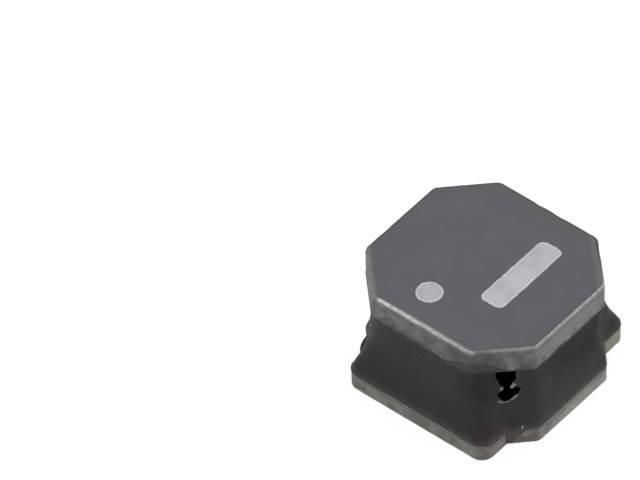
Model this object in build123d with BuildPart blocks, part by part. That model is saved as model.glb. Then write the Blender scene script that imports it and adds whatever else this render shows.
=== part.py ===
from build123d import *
import os
from math import acos, atan2, cos, degrees, hypot, radians, sin

# A surface mount power choke. A ferrite drum core carries an enamelled copper winding between its flanges,
# dark magnetic resin fills the space round the winding, and the two wire ends lie soldered in grooves
# under the bottom flange. Millimetres, +Z up, origin at the middle of the underside that meets the board.
# X runs across the two notched sides, Y runs from the front terminal to the back one.

# Ferrite drum core
overall_height = 3.00
top_flange_length = 4.85
top_flange_width = 4.48
top_flange_corner = 1.04
top_corner_radius = 0.25
top_flange_thickness = 0.69
bottom_flange_length = 4.95
bottom_flange_width = 5.00
bottom_flange_thickness = 0.47
end_block_width = 0.80
end_block_radius = 0.32
notch_depth = 0.50
notch_flank_run = 0.51
middle_corner_radius = 0.25
post_diameter = 2.60
post_root_chamfer = 0.08
flange_edge_chamfer = 0.04

# Enamelled wire, drawn with flats to keep the turns light
wire_diameter = 0.22
wire_flat_count = 8
winding_layers = 2
turn_gap = 0.025
layer_gap = 0.025
winding_clearance = 0.01
wire_bend_radius = 0.22
lead_side_clearance = 0.005
lead_stand_out = 0.02
lead_corner_offset = 0.05
lead_flange_gap = 0.045
lead_run_out = 0.30
wire_end_margin = 0.75

# Terminals and solder
terminal_thickness = 0.025
terminal_width = 1.45
terminal_edge_margin = 0.03
terminal_bend_margin = 0.01
solder_gap = 0.02
solder_past_wire = 0.25
wire_board_gap = 0.015

# Resin
resin_dip = 0.10
resin_drape_split = 0.55
resin_clearance = 0.01
lead_coat = 0.03
lead_coat_bottom = 0.30
overflow_radius = 0.35
overflow_proud = 0.05
overflow_shift = 0.13
overflow_bottom = 0.06

# Void left in the resin under one short side of the top flange
void_top_width = 0.44
void_neck_width = 0.12
void_lobe_width = 0.50
void_height = 0.95
void_neck_drop = 0.45
void_lobe_drop = 0.66
void_top_drop = 0.04
void_shift = 0.21
void_depth = 0.34

# Printed marks
ink_thickness = 0.012
dot_diameter = 0.62
dot_x = -0.46
dot_y = -1.36
bar_length = 2.22
bar_width = 0.62
bar_corner_radius = 0.16
bar_x = 0.79
bar_y = 0.31

# How closely an edge or corner has to match a size to be picked out
pick_tolerance = 0.001

# Levels
core_bottom = terminal_thickness
flange_top = core_bottom + bottom_flange_thickness
top_flange_bottom = overall_height - top_flange_thickness

# Places in the outline of the bottom flange
end_block_x = bottom_flange_length / 2 - notch_depth
notch_corner_y = bottom_flange_width / 2 - end_block_width
middle_half_width = notch_corner_y - notch_flank_run

# Wire grooves in the underside: each holds the wire, solder round it and the lining of the terminal
wire_radius = wire_diameter / 2
solder_radius = wire_radius + solder_gap
groove_radius = solder_radius + terminal_thickness
groove_wire_z = wire_board_gap + wire_radius
groove_y = notch_corner_y + lead_corner_offset

# Each lead stands half sunk in an upright groove in the end block's side. It bends up into it from the
# groove in the underside, and the gap beside it is what the inside of the bend needs to clear the edge
# between the two grooves.
bend_inside = wire_bend_radius - wire_radius
mouth_roof_gap = groove_radius - wire_radius
mouth_side_gap = bend_inside - (bend_inside**2 - (bend_inside - mouth_roof_gap) ** 2) ** 0.5
lead_groove_radius = wire_radius + mouth_side_gap + lead_side_clearance
lead_x = end_block_x + lead_stand_out
terminal_half_length = lead_x - wire_bend_radius - terminal_bend_margin
wire_end_x = terminal_half_length - wire_end_margin
groove_end_x = wire_end_x + solder_past_wire + terminal_thickness

# Winding: radii of the layers, and the angles where the leads leave them as tangents towards their notches
turn_pitch = wire_diameter + turn_gap
layer_pitch = wire_diameter + layer_gap
inner_layer_radius = post_diameter / 2 + winding_clearance + wire_radius
outer_layer_radius = inner_layer_radius + (winding_layers - 1) * layer_pitch
lead_reach = hypot(lead_x, groove_y)
notch_angle = degrees(atan2(groove_y, -lead_x))
start_angle = notch_angle + degrees(acos(inner_layer_radius / lead_reach))
finish_angle = 360 - notch_angle - degrees(acos(outer_layer_radius / lead_reach))
first_turn_z = flange_top + lead_flange_gap + wire_radius
last_turn_z = top_flange_bottom - winding_clearance - wire_radius
full_turns = int((last_turn_z - first_turn_z) / turn_pitch)

# Resin: the bore round the winding, and the coat on each lead
bore_radius = outer_layer_radius + wire_radius + 2 * resin_clearance
lead_channel_radius = wire_radius + resin_clearance
lead_coat_radius = lead_channel_radius + lead_coat

# Resin that ran down in the near notch: a round front, a little proud of the flank beside the corner
flank_outward = Vector(notch_depth, notch_flank_run, 0).normalized()
flank_inward = Vector(-notch_flank_run, notch_depth, 0).normalized()
overflow_middle = Vector(end_block_x, -notch_corner_y, 0) + flank_outward * overflow_shift
overflow_middle += flank_inward * (overflow_radius - overflow_proud)


def all_quadrants(points):
    """Repeat the points of the first quadrant in all four, in one turn round the outline."""
    right_back = [(x, y) for x, y in points]
    left_back = [(-x, y) for x, y in reversed(points)]
    left_front = [(-x, -y) for x, y in points]
    right_front = [(x, -y) for x, y in reversed(points)]
    return right_back + left_back + left_front + right_front


def point_at(radius, angle, height):
    """A point on a circle about the post, at an angle in degrees and a height."""
    return Vector(radius * cos(radians(angle)), radius * sin(radians(angle)), height)


def half_turn(start_radius, end_radius, angle, start_z, end_z, swept=180):
    """A tilted half circle round the post that leaves and arrives level, or only its first part."""
    start = point_at(start_radius, angle, start_z)
    end = point_at(end_radius, angle + 180, end_z)
    centre = (start + end) / 2
    arm = start - centre
    ahead = Vector(-sin(radians(angle)), cos(radians(angle)), 0) * arm.length
    middle = centre + arm * cos(radians(swept / 2)) + ahead * sin(radians(swept / 2))
    last = centre + arm * cos(radians(swept)) + ahead * sin(radians(swept))
    return ThreePointArc(start, middle, last)


def drape_points(fraction, dip):
    """First quadrant of the resin's outline, from the bottom flange at 0 to the top flange at 1."""
    lower = [
        Vector(bottom_flange_length / 2, middle_half_width),
        Vector(end_block_x, notch_corner_y),
        Vector(end_block_x, bottom_flange_width / 2),
    ]
    side_corner = Vector(top_flange_length / 2, top_flange_width / 2 - top_flange_corner)
    end_corner = Vector(top_flange_length / 2 - top_flange_corner, top_flange_width / 2)
    upper = [side_corner, side_corner + (end_corner - side_corner) * resin_drape_split, end_corner]
    points = []
    for low_point, high_point in zip(lower, upper):
        point = low_point + (high_point - low_point) * fraction
        point *= (point.length - dip) / point.length
        points.append((point.X, point.Y))
    return points


def groove_section(side, radius):
    """Section of a wire groove, in the front at -1 or the back at 1: an arch that is open underneath."""
    with Locations((side * groove_y, groove_wire_z)):
        Circle(radius)
        Rectangle(2 * radius, groove_wire_z, align=(Align.CENTER, Align.MAX))


# Outlines of the two flanges
with BuildSketch() as bottom_outline:
    with BuildLine():
        middle_corner = (bottom_flange_length / 2, middle_half_width)
        notch_corner = (end_block_x, notch_corner_y)
        block_corner = (end_block_x, bottom_flange_width / 2)
        Polyline(*all_quadrants([middle_corner, notch_corner, block_corner]), close=True)
    make_face()
    for corner_y, radius in (
        (bottom_flange_width / 2, end_block_radius),
        (middle_half_width, middle_corner_radius),
    ):
        corners = bottom_outline.vertices().filter_by(lambda v: abs(abs(v.Y) - corner_y) < pick_tolerance)
        fillet(corners, radius=radius)

with BuildSketch() as top_outline:
    Rectangle(top_flange_length, top_flange_width)
    chamfer(top_outline.vertices(), length=top_flange_corner)
    fillet(top_outline.vertices(), radius=top_corner_radius)

# Drum core: one piece of ferrite, with a wire groove along the front and the back of its underside,
# and an upright one for each lead
with BuildPart() as drum_core:
    with BuildSketch(Plane.XY.offset(core_bottom)):
        add(bottom_outline.sketch)
    extrude(amount=bottom_flange_thickness)
    chamfer(drum_core.faces().sort_by(Axis.Z)[-1].edges(), length=flange_edge_chamfer)
    with BuildSketch(Plane.XY.offset(flange_top)):
        Circle(post_diameter / 2)
    extrude(amount=top_flange_bottom - flange_top)
    with BuildSketch(Plane.XY.offset(top_flange_bottom)):
        add(top_outline.sketch)
    extrude(amount=top_flange_thickness)
    chamfer(drum_core.faces().sort_by(Axis.Z)[-1].edges(), length=flange_edge_chamfer)
    round_edges = drum_core.edges().filter_by(GeomType.CIRCLE)
    post_roots = round_edges.filter_by(lambda edge: abs(edge.radius - post_diameter / 2) < pick_tolerance)
    chamfer(post_roots, length=post_root_chamfer)
    with BuildSketch(Plane.YZ.offset(groove_end_x)):
        groove_section(-1, groove_radius)
        groove_section(1, groove_radius)
    extrude(amount=-2 * bottom_flange_length, mode=Mode.SUBTRACT)
    with BuildSketch(Plane.XY.offset(core_bottom)):
        with Locations((-lead_x, -groove_y), (-lead_x, groove_y)):
            Circle(lead_groove_radius)
    extrude(amount=bottom_flange_thickness, mode=Mode.SUBTRACT)
drum_core.part.label = "drum_core"

# Winding: one wire, followed from its end in the back groove up through the notch, round the post in layers,
# and down through the other notch into the front groove. Every turn is two tilted half circles.
with BuildLine() as wire_path:
    start_lead = FilletPolyline(
        (wire_end_x, groove_y, groove_wire_z),
        (-lead_x, groove_y, groove_wire_z),
        (-lead_x, groove_y, first_turn_z),
        point_at(inner_layer_radius, start_angle, first_turn_z),
        radius=wire_bend_radius,
    )
    angle = start_angle
    level = first_turn_z
    for layer in range(winding_layers):
        layer_radius = inner_layer_radius + layer * layer_pitch
        climb = turn_pitch / 2 if layer % 2 == 0 else -turn_pitch / 2
        layer_angle = 360 * full_turns if layer == 0 else 360 * (full_turns - 1)
        if layer == winding_layers - 1:
            layer_angle -= (angle + layer_angle - finish_angle) % 360
        for step in range(int(layer_angle / 180)):
            half_turn(layer_radius, layer_radius, angle, level, level + climb)
            angle += 180
            level += climb
        if layer < winding_layers - 1:
            half_turn(layer_radius, layer_radius + layer_pitch, angle, level, level)
            angle += 180
    last_arc = half_turn(layer_radius, layer_radius, angle, level, level + climb, swept=layer_angle % 180)
    finish_lead = FilletPolyline(
        last_arc @ 1,
        last_arc @ 1 + (last_arc % 1) * lead_run_out,
        (-lead_x, -groove_y, first_turn_z),
        (-lead_x, -groove_y, groove_wire_z),
        (wire_end_x, -groove_y, groove_wire_z),
        radius=wire_bend_radius,
    )

with BuildPart() as winding:
    with BuildSketch(Plane(origin=start_lead @ 0, z_dir=start_lead % 0)):
        RegularPolygon(wire_radius, wire_flat_count)
    sweep(path=wire_path.wire())
winding.part.label = "winding"

# Resin: drapes from the rim of the top flange to the outline of the bottom flange, with a bore round the
# winding. It also coats each lead down its notch, has run down beside the corner of the near notch, and
# leaves a void where it has not closed over.
short_side_distance = (top_flange_length / 2 + top_flange_width / 2 - top_flange_corner) / 2**0.5
void_top = Vector(1, -1, 0).normalized() * (short_side_distance - void_depth)
void_top += Vector(1, 1, 0).normalized() * void_shift
void_top += Vector(0, 0, top_flange_bottom - void_top_drop)

with BuildPart() as resin_fill:
    for fraction, dip in ((0, 0), (0.5, resin_dip), (1, 0)):
        level = flange_top + (top_flange_bottom - flange_top) * fraction
        with BuildSketch(Plane.XY.offset(level)):
            Polygon(*all_quadrants(drape_points(fraction, dip)), align=None)
    loft()
    with BuildSketch(Plane.XY.offset(flange_top)):
        add(bottom_outline.sketch)
        offset(amount=-flange_edge_chamfer)
    extrude(amount=top_flange_bottom - flange_top, mode=Mode.INTERSECT)
    for lead in (start_lead, finish_lead):
        with BuildSketch(Plane(origin=lead @ 0, z_dir=lead % 0)):
            RegularPolygon(lead_coat_radius, wire_flat_count)
        sweep(path=lead)
    with BuildSketch(Plane.XY.offset(lead_coat_bottom)):
        Rectangle(2 * bottom_flange_length, 2 * bottom_flange_width)
    extrude(amount=-overall_height, mode=Mode.SUBTRACT)
    with BuildSketch(Plane.XY.offset(overflow_bottom)):
        with Locations(overflow_middle):
            Circle(overflow_radius)
    extrude(amount=flange_top + flange_edge_chamfer - overflow_bottom)
    with BuildSketch(Plane.XY.offset(flange_top)):
        Circle(bore_radius)
    extrude(amount=top_flange_bottom - flange_top, mode=Mode.SUBTRACT)
    for lead in (start_lead, finish_lead):
        with BuildSketch(Plane(origin=lead @ 0, z_dir=lead % 0)):
            RegularPolygon(lead_channel_radius, wire_flat_count)
        sweep(path=lead, mode=Mode.SUBTRACT)
    add(drum_core.part, mode=Mode.SUBTRACT)
    with BuildSketch(Plane(origin=void_top, x_dir=(1, 1, 0), z_dir=(1, -1, 0))):
        with BuildLine():
            top_side = Line((0, 0), (void_top_width / 2, 0))
            down = (0, -1)
            cup_side = Spline(top_side @ 1, (void_neck_width / 2, -void_neck_drop), tangents=[down, down])
            lobe_side = Spline(cup_side @ 1, (void_lobe_width / 2, -void_lobe_drop), tangents=[down, down])
            Spline(lobe_side @ 1, (0, -void_height), tangents=[down, (-1, 0)])
            mirror(about=Plane.YZ)
        make_face()
    extrude(amount=2 * void_depth, mode=Mode.SUBTRACT)
resin_fill.part.label = "resin_fill"


# Terminals: a plated layer under the front and the back of the bottom flange, which also lines the groove
terminals = []
for side, terminal_name in ((-1, "terminal_front"), (1, "terminal_back")):
    with BuildPart() as terminal:
        with BuildSketch(Plane.YZ):
            with Locations((side * (bottom_flange_width - terminal_width) / 2, 0)):
                Rectangle(terminal_width, terminal_thickness, align=(Align.CENTER, Align.MIN))
        extrude(amount=terminal_half_length, both=True)
        with BuildSketch(Plane.YZ.offset(groove_end_x)):
            groove_section(side, groove_radius)
        extrude(amount=-groove_end_x - terminal_half_length)
        with BuildSketch(Plane.YZ.offset(groove_end_x - terminal_thickness)):
            groove_section(side, solder_radius)
        extrude(amount=-bottom_flange_length, mode=Mode.SUBTRACT)
        with BuildSketch(Plane.XY):
            add(bottom_outline.sketch)
            offset(amount=-terminal_edge_margin)
        extrude(amount=flange_top, mode=Mode.INTERSECT)
    terminal.part.label = terminal_name
    terminals.append(terminal)

# Solder: fills each lined groove round the wire, from the bend to a little past the wire's end, and is
# flush underneath
solder_start_x = wire_bend_radius - lead_x
solders = []
for side, solder_name in ((-1, "solder_front"), (1, "solder_back")):
    with BuildPart() as solder:
        with BuildSketch(Plane.YZ.offset(solder_start_x)):
            groove_section(side, solder_radius)
        extrude(amount=wire_end_x + solder_past_wire - solder_start_x)
        with BuildSketch(Plane.YZ.offset(solder_start_x)):
            with Locations((side * groove_y, groove_wire_z)):
                Circle(wire_radius)
        extrude(amount=wire_end_x - solder_start_x, mode=Mode.SUBTRACT)
        split(bisect_by=Plane.XY, keep=Keep.TOP)
    solder.part.label = solder_name
    solders.append(solder)

# Printed marks on the top face: a dot and a plain bar
with BuildPart() as start_dot:
    with BuildSketch(Plane.XY.offset(overall_height)):
        with Locations((dot_x, dot_y)):
            Circle(dot_diameter / 2)
    extrude(amount=ink_thickness)
start_dot.part.label = "start_dot"

with BuildPart() as bar_mark:
    with BuildSketch(Plane.XY.offset(overall_height)):
        with Locations((bar_x, bar_y)):
            RectangleRounded(bar_width, bar_length, bar_corner_radius)
    extrude(amount=ink_thickness)
bar_mark.part.label = "bar_mark"

os.makedirs("parts", exist_ok=True)
for piece in (drum_core, winding, resin_fill, *terminals, *solders, start_dot, bar_mark):
    export_step(piece.part, f"parts/{piece.part.label}.step")
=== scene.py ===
from math import acos, atan2, ceil, cos, degrees, hypot, pi, radians, sin, tan

import bmesh
import bpy
import numpy as np
from mathutils import Matrix, Vector, noise
from mathutils.bvhtree import BVHTree


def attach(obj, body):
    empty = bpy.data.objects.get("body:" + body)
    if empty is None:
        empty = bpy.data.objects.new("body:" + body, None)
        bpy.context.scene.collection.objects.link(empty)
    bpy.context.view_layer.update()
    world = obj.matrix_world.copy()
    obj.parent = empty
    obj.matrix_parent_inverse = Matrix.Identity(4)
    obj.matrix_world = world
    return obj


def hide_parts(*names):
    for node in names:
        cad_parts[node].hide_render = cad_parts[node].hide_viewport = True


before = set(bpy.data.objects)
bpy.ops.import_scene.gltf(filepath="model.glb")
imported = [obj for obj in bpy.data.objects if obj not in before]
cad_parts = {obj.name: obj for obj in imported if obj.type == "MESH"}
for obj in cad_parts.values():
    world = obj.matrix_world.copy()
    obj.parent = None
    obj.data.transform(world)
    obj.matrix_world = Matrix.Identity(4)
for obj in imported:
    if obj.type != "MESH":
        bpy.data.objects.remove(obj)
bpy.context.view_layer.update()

# A surface mount choke. The lengths below are millimetres, as in the CAD model, and meshes are in metres.
METRES = 0.001
WELD_DISTANCE = 1e-8

# Ferrite core
core_bottom = 0.025
flange_top = 0.495
top_flange_bottom = 2.31
overall_height = 3.00
plate_half_length = 2.475
plate_half_width = 2.50
middle_half_width = 1.19
end_block_x = 1.975
notch_corner_y = 1.70
middle_corner_radius = 0.25
notch_corner_radius = 0.03
end_block_radius = 0.32
top_half_length = 2.425
top_half_width = 2.24
top_corner = 1.04
top_corner_radius = 0.25
post_radius = 1.30
post_root = 0.08
edge_round = 0.045
side_spans = 8
edge_spans = 4
first_step = 0.02
cutter_foot = -0.2

# Wire
wire_radius = 0.11
wire_sides = 20
groove_y = 1.75
groove_wire_z = 0.125
groove_radius = 0.155
groove_end_x = 1.29
lead_x = 1.995
lead_groove_radius = 0.136
wire_end_x = 1.015
bend_radius = 0.22
bend_steps = 8
inner_layer_radius = 1.42
outer_layer_radius = 1.665
turn_pitch = 0.245
turn_steps = 48
full_turns = 6
first_turn_z = 0.65
lead_run_out = 0.30

# Resin
bore_radius = 1.795
drape_split = 0.55
drape_dip = 0.10
coat_radius = 0.14
coat_bottom = 0.30
overflow_radius = 0.35
overflow_middle = (1.852, -1.397)
overflow_bottom = 0.06
film = 0.010
wall_spans = 40
void_shift = 0.21
void_drop = 0.04
void_out = np.array([1, -1, 0]) / 2**0.5
void_along = np.array([1, 1, 0]) / 2**0.5
crumb_radius = 0.028
dent_width = 0.03
dent_depth = 0.02

# Prints
ink_thickness = 0.012
dot_place = (-0.46, -1.36)
dot_radius = 0.31
bar_place = (0.79, 0.31)
bar_half = (0.31, 1.11)
bar_corner = 0.16


def quadrants(points):
    """The corners of the first quadrant repeated in all four, counter-clockwise."""
    turned = list(points)
    turned += [(-x, y) for x, y in reversed(points)]
    turned += [(-x, -y) for x, y in points]
    turned += [(x, -y) for x, y in reversed(points)]
    return np.array(turned)


def corner_turn(corners, corner):
    """The direction into a corner of a closed outline, and the angle by which it turns there."""
    before = corners[corner] - corners[corner - 1]
    after = corners[(corner + 1) % len(corners)] - corners[corner]
    before = before / np.linalg.norm(before)
    after = after / np.linalg.norm(after)
    return before, atan2(before[0] * after[1] - before[1] * after[0], before @ after)


def rounded_loop(corners, radii, counts):
    """Stations round a closed outline with rounded corners, closer together near each corner."""
    total = len(corners)
    stations = []
    for i in range(total):
        here, ahead = corners[i], corners[(i + 1) % total]
        length = np.linalg.norm(ahead - here)
        for j in range(counts[i]):
            share = 0.5 - 0.5 * cos(pi * j / counts[i])
            point = here + (ahead - here) * share
            for corner, side in ((i, 1), ((i + 1) % total, -1)):
                distance = length * share if side == 1 else length * (1 - share)
                into, turn = corner_turn(corners, corner)
                reach = radii[corner] * abs(tan(turn / 2))
                if reach < 1e-6 or distance >= reach:
                    continue
                start = corners[corner] - into * reach
                centre = start + np.sign(turn) * radii[corner] * np.array([-into[1], into[0]])
                swing = turn / 2 * (1 + side * distance / reach)
                x, y = start - centre
                point = centre + (x * cos(swing) - y * sin(swing), x * sin(swing) + y * cos(swing))
            stations.append(point)
    return np.array(stations)


def outward(loop):
    """Unit normals of a counter-clockwise loop, pointing away from what it encloses."""
    along = np.roll(loop, -1, axis=0) - np.roll(loop, 1, axis=0)
    along /= np.linalg.norm(along, axis=1)[:, None]
    return np.column_stack([along[:, 1], -along[:, 0]])


def rough(points, size, seed):
    """Smooth noise from -1 to 1 at points in millimetres, with features about as large as size."""
    shift = Vector((seed * 7.3, seed * 3.1, seed * 5.7))
    return np.array([noise.noise(Vector(p) / size + shift) for p in points])


def ring(loop, normals, inset, height):
    """A row of a skin: the loop moved inwards and set at a height."""
    moved = loop - normals * np.reshape(inset * np.ones(len(loop)), (-1, 1))
    return np.column_stack([moved, height * np.ones(len(loop))])


def skin(name, rows, looped=False):
    """A closed mesh through rows of equal length, capped at both ends or, if looped, joined there."""
    count = len(rows[0])
    points = np.concatenate(rows) * METRES
    faces = []
    spans = len(rows) if looped else len(rows) - 1
    for row in range(spans):
        low, high = row * count, ((row + 1) % len(rows)) * count
        for k in range(count):
            after = (k + 1) % count
            faces.append((low + k, low + after, high + after, high + k))
    if not looped:
        faces.append(tuple(reversed(range(count))))
        faces.append(tuple(range((len(rows) - 1) * count, len(rows) * count)))
    mesh = bpy.data.meshes.new(name)
    mesh.from_pydata(points.tolist(), [], faces)
    return mesh


def store(mesh, name, numbers):
    """Stores a number on each point of a mesh."""
    mesh.attributes.new(name, "FLOAT", "POINT").data.foreach_set("value", np.array(numbers, dtype=float))


def store_rows(mesh, name, numbers, count):
    """Stores one number on all points of each row of a skin."""
    store(mesh, name, np.repeat(numbers, count))


def face_outwards(mesh, weld=False):
    """Turns the faces of a closed mesh outwards and, if asked, welds the points that lie on each other."""
    shape = bmesh.new()
    shape.from_mesh(mesh)
    if weld:
        bmesh.ops.remove_doubles(shape, verts=shape.verts, dist=WELD_DISTANCE)
    bmesh.ops.recalc_face_normals(shape, faces=shape.faces)
    shape.to_mesh(mesh)
    shape.free()


def place(name, mesh, materials, replaced=(), sharp=35):
    """Makes the object of a finished mesh, smooth but for sharp edges, on the part's one body."""
    face_outwards(mesh, weld=True)
    mesh.shade_smooth()
    mesh.set_sharp_from_angle(angle=radians(sharp))
    kept = np.empty(len(mesh.polygons), dtype=np.int32)
    mesh.polygons.foreach_get("material_index", kept)
    mesh.materials.clear()
    for material in materials:
        mesh.materials.append(material)
    mesh.polygons.foreach_set("material_index", np.minimum(kept, len(materials) - 1))
    piece = bpy.data.objects.new(name, mesh)
    bpy.context.scene.collection.objects.link(piece)
    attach(piece, "root")
    if replaced:
        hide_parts(*replaced)


def cut(mesh, cutters):
    """The mesh with the cutters' meshes taken out of it."""
    body = bpy.data.objects.new("body", mesh)
    bpy.context.scene.collection.objects.link(body)
    tools = []
    for cutter in cutters:
        tool = bpy.data.objects.new("cutter", cutter)
        bpy.context.scene.collection.objects.link(tool)
        modifier = body.modifiers.new("cut", "BOOLEAN")
        modifier.operation = "DIFFERENCE"
        modifier.solver = "EXACT"
        modifier.material_mode = "TRANSFER"
        modifier.object = tool
        tools.append(tool)
    result = bpy.data.meshes.new_from_object(body.evaluated_get(bpy.context.evaluated_depsgraph_get()))
    for used in (body, *tools):
        bpy.data.objects.remove(used)
    return result


# Materials


class Nodes:
    """A node tree, with calls that add nodes to it and set or link their inputs."""

    def __init__(self, tree):
        self.tree = tree

    def add(self, kind, inputs=None, **settings):
        """A new node with its settings, and with values or links for inputs given by name or number."""
        node = self.tree.nodes.new(kind)
        for name, value in settings.items():
            setattr(node, name, value)
        for socket, value in (inputs or {}).items():
            self.feed(node.inputs[socket], value)
        return node

    def feed(self, socket, value):
        """Sets a socket to a value, or links an output to it."""
        if isinstance(value, bpy.types.NodeSocket):
            self.tree.links.new(value, socket)
        else:
            socket.default_value = value


class Finish(Nodes):
    """A node material on Object coordinates in millimetres, with calls for what the finishes share."""

    def __init__(self, name, **shader):
        self.material = bpy.data.materials.new(name)
        self.material.use_nodes = True
        super().__init__(self.material.node_tree)
        self.shader = self.tree.nodes["Principled BSDF"]
        for socket, value in shader.items():
            self.shader.inputs[socket.replace("_", " ")].default_value = value
        source = self.add("ShaderNodeTexCoord").outputs["Object"]
        scale = self.add("ShaderNodeMapping", {"Vector": source, "Scale": (1 / METRES,) * 3})
        self.place = scale.outputs["Vector"]

    def cloud(self, size, detail=3.0, rough=0.55, stretch=None):
        """Noise from 0 to 1 with features of a size in millimetres."""
        source = self.place
        if stretch:
            source = self.add("ShaderNodeMapping", {"Vector": source, "Scale": stretch}).outputs["Vector"]
        inputs = {"Vector": source, "Scale": 1 / size, "Detail": detail, "Roughness": rough}
        return self.add("ShaderNodeTexNoise", inputs).outputs["Fac"]

    def ramp(self, value, low, high):
        """A share from 0 at low to 1 at high, smooth between."""
        inputs = {"Value": value, "From Min": low, "From Max": high}
        return self.add("ShaderNodeMapRange", inputs, interpolation_type="SMOOTHSTEP").outputs["Result"]

    def spread(self, value, low, high, to_low, to_high):
        """A straight map of one range on another."""
        inputs = {"Value": value, "From Min": low, "From Max": high, "To Min": to_low, "To Max": to_high}
        return self.add("ShaderNodeMapRange", inputs).outputs["Result"]

    def math(self, operation, first, second):
        """One arithmetic step."""
        return self.add("ShaderNodeMath", {0: first, 1: second}, operation=operation).outputs["Value"]

    def mix(self, share, first, second):
        """The second colour over the first by a share."""
        return self.add("ShaderNodeMix", {0: share, 6: first, 7: second}, data_type="RGBA").outputs[2]

    def lay(self, under, share, strength, colour):
        """A colour laid over another by a share times a strength."""
        return self.mix(self.math("MULTIPLY", share, strength), under, colour)

    def axis(self, source, name):
        """One coordinate of a vector output."""
        return self.add("ShaderNodeSeparateXYZ", {"Vector": source}).outputs[name]

    def near(self, centre, size):
        """Distance from a point, in shares of a size along each axis."""
        away = self.add("ShaderNodeVectorMath", {0: self.place, 1: centre}, operation="SUBTRACT")
        share = self.add("ShaderNodeVectorMath", {0: away.outputs[0], 1: size}, operation="DIVIDE")
        length = self.add("ShaderNodeVectorMath", {0: share.outputs[0]}, operation="LENGTH")
        return length.outputs["Value"]

    def spot(self, centre, size, outer, inner):
        """A share from 0 to 1 between two distances from a point, in shares of a size along each axis."""
        return self.ramp(self.near(centre, size), outer, inner)

    def marked(self, under, marks):
        """A colour under soft marks, each a centre, size, outer and inner edge, strength and tint."""
        for centre, size, outer, inner, strength, tint in marks:
            under = self.lay(under, self.spot(centre, size, outer, inner), strength, tint)
        return under

    def painted(self, name):
        """A number stored on the mesh's points."""
        return self.add("ShaderNodeAttribute", attribute_name=name).outputs["Fac"]

    def facing(self):
        """The surface's own upward share, from -1 to 1."""
        return self.axis(self.add("ShaderNodeTexCoord").outputs["Normal"], "Z")

    def bump(self, height, depth, strength, under=None):
        """A bump of a depth in millimetres."""
        inputs = {"Strength": strength, "Distance": depth * METRES, "Height": height}
        if under is not None:
            inputs["Normal"] = under
        return self.add("ShaderNodeBump", inputs).outputs["Normal"]

    def out(self, **sockets):
        """Links outputs to the shader and gives the finished material."""
        for socket, value in sockets.items():
            self.feed(self.shader.inputs[socket.replace("_", " ")], value)
        return self.material


# Marks on the ferrite as the photograph shows them
side_marks = [
    # Painted light: a paler patch on the right side of the top flange, where more light falls
    ((2.43, 0.15, 2.66), (0.35, 1.5, 0.45), 1.1, 0.5, 0.7, (0.275, 0.275, 0.265, 1)),
    ((-0.35, -2.24, 2.62), (0.45, 0.20, 0.22), 1.2, 0.5, 0.45, (0.215, 0.215, 0.205, 1)),
    ((0.55, -2.24, 2.78), (0.45, 0.20, 0.20), 1.2, 0.5, 0.35, (0.10, 0.10, 0.098, 1)),
    ((2.43, -0.1, 2.89), (0.12, 1.1, 0.06), 1.1, 0.5, 0.45, (0.09, 0.092, 0.098, 1)),
    ((1.55, -2.10, 2.50), (1.05, 0.50, 0.55), 1.15, 0.55, 0.62, (0.058, 0.054, 0.053, 1)),
]
plate_marks = [
    # Painted light: the lower part of the bottom flange's right side made paler, where more light falls
    ((2.48, 0.5, 0.02), (0.6, 1.9, 0.42), 1.1, 0.4, 0.65, (0.44, 0.42, 0.38, 1)),
    ((1.98, 2.10, 0.22), (0.25, 0.55, 0.30), 1.1, 0.5, 0.75, (0.36, 0.35, 0.27, 1)),
    ((1.98, -2.05, 0.28), (0.15, 0.34, 0.25), 1.1, 0.6, 0.7, (0.235, 0.190, 0.170, 1)),
]


def top_face(f, patch, fine):
    """The ground top face: bluish grey, warmer at the back, with pale bands along two short edges."""
    clouded = f.ramp(f.cloud(0.75, 3), 0.35, 0.7)
    face = f.mix(clouded, (0.128, 0.143, 0.166, 1), (0.150, 0.160, 0.180, 1))
    face = f.mix(f.ramp(fine, 0.3, 0.75), face, (0.150, 0.162, 0.182, 1))
    border = f.math("MULTIPLY", f.painted("border"), f.ramp(patch, 0.36, 0.58))
    face = f.lay(face, border, 0.6, (0.145, 0.138, 0.128, 1))
    warm = f.ramp(f.axis(f.place, "Y"), 1.72, 2.10)
    face = f.lay(face, warm, 0.5, (0.152, 0.147, 0.142, 1))
    across = f.math("ADD", f.axis(f.place, "X"), f.axis(f.place, "Y"))
    ragged = f.spread(patch, 0.3, 0.7, -0.05, 0.05)
    right_band = f.ramp(f.math("ADD", ragged, across), 3.33, 3.42)
    face = f.lay(face, right_band, 0.75, (0.195, 0.195, 0.190, 1))
    left_band = f.ramp(f.math("SUBTRACT", ragged, across), 3.42, 3.49)
    return f.lay(face, left_band, 0.7, (0.240, 0.243, 0.240, 1))


def raw_side(f, patch, fine):
    """The raw side of the top flange: mottled grey and marked, with painted light on its right side and an
    uneven stain of resin along its foot.
    """
    side = f.mix(f.ramp(patch, 0.32, 0.66), (0.085, 0.083, 0.080, 1), (0.215, 0.216, 0.214, 1))
    side = f.lay(side, f.ramp(fine, 0.40, 0.7), 0.5, (0.175, 0.174, 0.170, 1))
    side = f.marked(side, side_marks)
    line = f.math("ADD", f.axis(f.place, "Z"), f.spread(patch, 0.3, 0.7, -0.16, 0.16))
    stain = f.ramp(line, top_flange_bottom + 0.16, top_flange_bottom + 0.02)
    return f.lay(side, stain, 0.6, (0.070, 0.064, 0.059, 1))


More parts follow.
